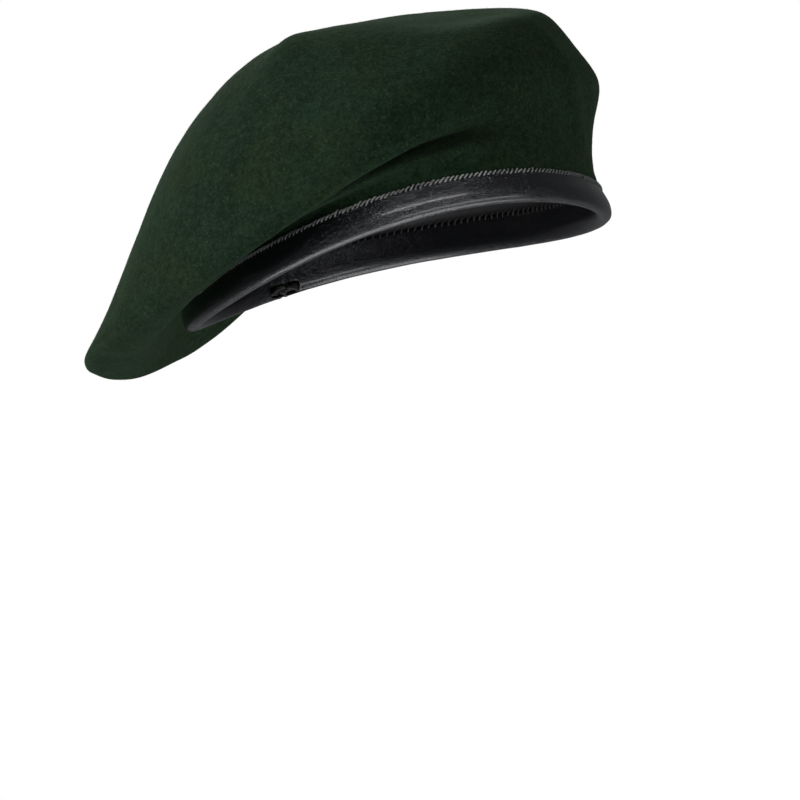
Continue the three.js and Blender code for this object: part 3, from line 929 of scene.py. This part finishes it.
def label_stitches():
    """Small stitches round the edge of the size label."""
    turn_in, row_in = LABEL_MARGIN
    first, last = LABEL_ANGLES[0] + turn_in, LABEL_ANGLES[1] - turn_in
    low, high = LABEL_ROWS[0] + row_in, LABEL_ROWS[1] - row_in
    corners = [(first, low), (last, low), (last, high), (first, high), (first, low)]
    guide, outward = [], []
    for (angle, row), (angle2, row2) in zip(corners, corners[1:]):
        for share in np.linspace(0, 1, 12, endpoint=False):
            theta = np.radians([angle + (angle2 - angle) * share])
            point, normal = drape(lining_controls, theta, [row + (row2 - row) * share])
            guide.append(point[0, 0] - normal[0, 0] * 1.1)
            outward.append(-normal[0, 0])
    path = [(-0.75, 0.25, 0), (-0.4, -0.2, 0), (0.4, -0.2, 0), (0.75, 0.25, 0)]
    return sew("label_stitches", guide, outward, path, 2.1, 0.13, 2, jitter=0.06, closed=True)


# ---------------------------------------------------------------- cord and vents

def tube(name, path, radius, sides=12, closed=False):
    """A round cord along a path of points in millimetres."""
    path = np.asarray(path, float)
    ahead = np.roll(path, -1, 0) - np.roll(path, 1, 0)
    if not closed:
        ahead[0], ahead[-1] = path[1] - path[0], path[-1] - path[-2]
    ahead /= np.linalg.norm(ahead, axis=1, keepdims=True)
    across = np.cross(ahead, (0.13, 0.21, 0.97))
    across /= np.linalg.norm(across, axis=1, keepdims=True)
    third = np.cross(ahead, across)
    turns = full_turn(sides)
    rings = (path[:, None] + radius * (np.cos(turns)[None, :, None] * across[:, None]
                                       + np.sin(turns)[None, :, None] * third[:, None]))
    poles = None if closed else [path[0], path[-1]]
    return hoop_piece(name, rings, poles, run_length(path), turns * radius)


def cord_ring():
    """The part of the drawcord that runs in the binding's channel."""
    turns, sides = full_turn(480), full_turn(CORD_SIDES)
    hoops = []
    for a in sides:
        out = CORD_PLACE[0] + CORD_RADIUS * math.cos(a)
        hoops.append(on_ring(turns, out, CORD_PLACE[1] + CORD_RADIUS * math.sin(a)))
    return hoop_piece("braided_drawcord", hoops, along=sides * CORD_RADIUS)


def cord_knot():
    """The knot in the window at the back, with the two cut ends tucked beside it."""
    t = full_turn(160)
    wide = 1.15 * (np.sin(t) + 2 * np.sin(2 * t))
    tall = 0.52 * (np.cos(t) - 2 * np.cos(2 * t))
    deep = -0.85 * np.sin(3 * t)
    centre = at_back(CORD_PLACE[0] - 1.5, CORD_PLACE[1])
    knot = tube("drawcord_knot", centre + np.stack([wide, deep, tall], -1), 0.62, closed=True)
    ends = []
    s = np.linspace(0, 1, 14)
    for side, sign in (("right", -1), ("left", 1)):
        bend = [sign * (1.5 + 4.6 * s), -0.9 - 1.2 * s + 0.9 * s * s, 0.4 - 1.7 * s * s]
        ends.append(tube(f"drawcord_end_{side}", centre + np.stack(bend, -1), 0.6))
    return knot, *ends


def on_felt(name, profile, angle, segments=48):
    """A turned piece standing on the felt at a vent. profile lists (radius, height)."""
    point, normal = drape(crown_controls, np.radians([angle]), [VENT_ROW])
    turn = Vector(normal[0, 0]).to_track_quat("Z", "X").to_matrix()
    centre = point[0, 0] - VENT_SINK * normal[0, 0]
    turns = full_turn(segments)
    closed_ends = profile[0][0] == 0
    rings = profile[1:-1] if closed_ends else profile
    hoops = [np.stack([r * np.cos(turns), r * np.sin(turns), np.full(segments, h)], -1)
             for r, h in rings]
    hoops = np.array(hoops) @ np.array(turn).T + centre
    poles = None
    if closed_ends:
        poles = [np.array(turn) @ (0, 0, h) + centre for _, h in (profile[0], profile[-1])]
    return hoop_piece(name, hoops, poles)


def vent(side, angle):
    """An eyelet set through the felt from outside, and the washer it is clenched over."""
    eyelet = on_felt(f"vent_eyelet_{side}", EYELET_SECTION, angle)
    return eyelet, on_felt(f"vent_washer_{side}", WASHER_SECTION, angle)


def hand_over(piece, finish, slot, *nodes):
    """Gives a piece its finish, hangs it on the root body, and hides the model's parts it stands
    for.
    """
    piece.data.materials.clear()  # geometry trees leave an empty slot
    piece.data.materials.append(finish)
    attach(piece, "root")
    if nodes:
        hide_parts(*nodes)
    return piece


# ---------------------------------------------------------------- the studio

def aim(thing, target, roll=0.0):
    thing.rotation_mode = "QUATERNION"
    gaze = (Vector(target) - thing.location).to_track_quat("-Z", "Y")
    thing.rotation_quaternion = gaze @ Matrix.Rotation(math.radians(roll), 3, "Z").to_quaternion()


def place_camera():
    scene = bpy.context.scene
    camera = bpy.data.objects.new("camera", bpy.data.cameras.new("camera"))
    camera.data.lens = CAMERA_LENS
    camera.data.sensor_width = 36
    camera.data.clip_end = 60
    camera.location = CAMERA_PLACE
    aim(camera, CAMERA_TARGET, roll=CAMERA_ROLL)
    scene.collection.objects.link(camera)
    scene.camera = camera


def softbox(name, place, target, size, power):
    light = bpy.data.lights.new(name, "AREA")
    light.shape, light.size, light.size_y = "RECTANGLE", size[0], size[1]
    light.energy = power
    lamp = bpy.data.objects.new(name, light)
    lamp.location = place
    aim(lamp, target)
    lamp.visible_camera = False
    bpy.context.scene.collection.objects.link(lamp)


def surround():
    """A world that is white to the camera and dim to everything else."""
    world = bpy.data.worlds.new("paper_white")
    bpy.context.scene.world = world
    world.use_nodes = True
    graph = Graph(world.node_tree)
    seen = graph.node("ShaderNodeLightPath", output="Is Camera Ray")
    levels = {"Value": seen, "To Min": SURROUND, "To Max": PAPER}
    level = graph.node("ShaderNodeMapRange", levels)
    background = world.node_tree.nodes["Background"]
    background.inputs["Color"].default_value = (1, 1, 1, 1)
    world.node_tree.links.new(level.socket, background.inputs["Strength"])


def pale_floor():
    """A glowing disc that fades out at its edge. It takes no part in the lighting, and does not
    show from below."""
    bpy.ops.mesh.primitive_circle_add(vertices=128, radius=FLOOR_RADIUS, fill_type="NGON")
    floor = bpy.context.object
    floor.name = "floor"
    floor.data.transform(Matrix.Translation((0, 0, FLOOR_Z)))
    floor.visible_diffuse = floor.visible_glossy = floor.visible_shadow = False
    finish = Finish("pale_floor", Roughness=0.9, Specular_IOR_Level=0.1,
                    Base_Color=(0.80, 0.80, 0.80, 1), Emission_Color=(1, 1, 1, 1),
                    Emission_Strength=FLOOR_GLOW)
    x, y, _ = finish.parts(finish.place())
    fade = ((x * x + y * y) ** 0.5).between(0.5, 1.35, 1.0, 0.0)
    facing = 1.0 - finish.node("ShaderNodeNewGeometry", output="Backfacing")
    finish.tree.links.new((fade * facing).socket, finish.shader.inputs["Alpha"])
    floor.data.materials.append(finish.material)


place_camera()
for name, box in SOFTBOXES.items():
    softbox(name, *box)
surround()
pale_floor()
bpy.context.scene.view_settings.view_transform = "Standard"
bpy.context.scene.view_settings.look = "None"

STITCH_ROW = stitch_row_group()
leather, satin, cord, enamel = grained_leather(), satin_lining(), braided_cord(), black_enamel()
grey_thread = sewing_thread("grey_overcast_thread", (0.02, 0.021, 0.023), (0.34, 0.35, 0.34))
black_thread = sewing_thread("black_thread", (0.010, 0.010, 0.011), (0.045, 0.045, 0.048))

hand_over(felt_crown(), wool_felt(), "felt", "crown")
hand_over(felt_fuzz(), felt_fibre(), "felt")
binding = hand_over(leather_binding(), leather, "leather", "edge_binding")
hand_over(edge_stitches(), grey_thread, "grey_thread", "edge_stitching")
hand_over(inner_stitches(), black_thread, "black_thread", "inner_stitching")
hand_over(join_stitches(), black_thread, "black_thread")
side_cloth = hand_over(lining_side(), satin, "lining", "lining_side")
tip_cloth = hand_over(lining_tip(), satin, "lining", "lining_tip")
tip_seam = hand_over(tip_stitches(), black_thread, "black_thread")
hand_over(cord_ring(), cord, "cord", "drawcord")
for piece in cord_knot():
    hand_over(piece, cord, "cord")
for side, angle in VENT_ANGLES.items():
    eyelet, washer = vent(side, angle)
    hand_over(eyelet, enamel, "enamel", f"vent_eyelet_{side}")
    hand_over(washer, enamel, "enamel", f"vent_washer_{side}")
board = laid_sheet("stiffening_board", crown_controls, BOARD_ANGLES, BOARD_ROWS, BOARD_DEPTH,
                   BOARD, crown_relief)
hand_over(board, buckram(), "board", "flash_stiffener")
label = laid_sheet("blank_size_label", lining_controls, LABEL_ANGLES, LABEL_ROWS, LABEL_DEPTH,
                   LABEL)
hand_over(label, woven_tape(), "label", "size_label")
label_edge = hand_over(label_stitches(), black_thread, "black_thread")
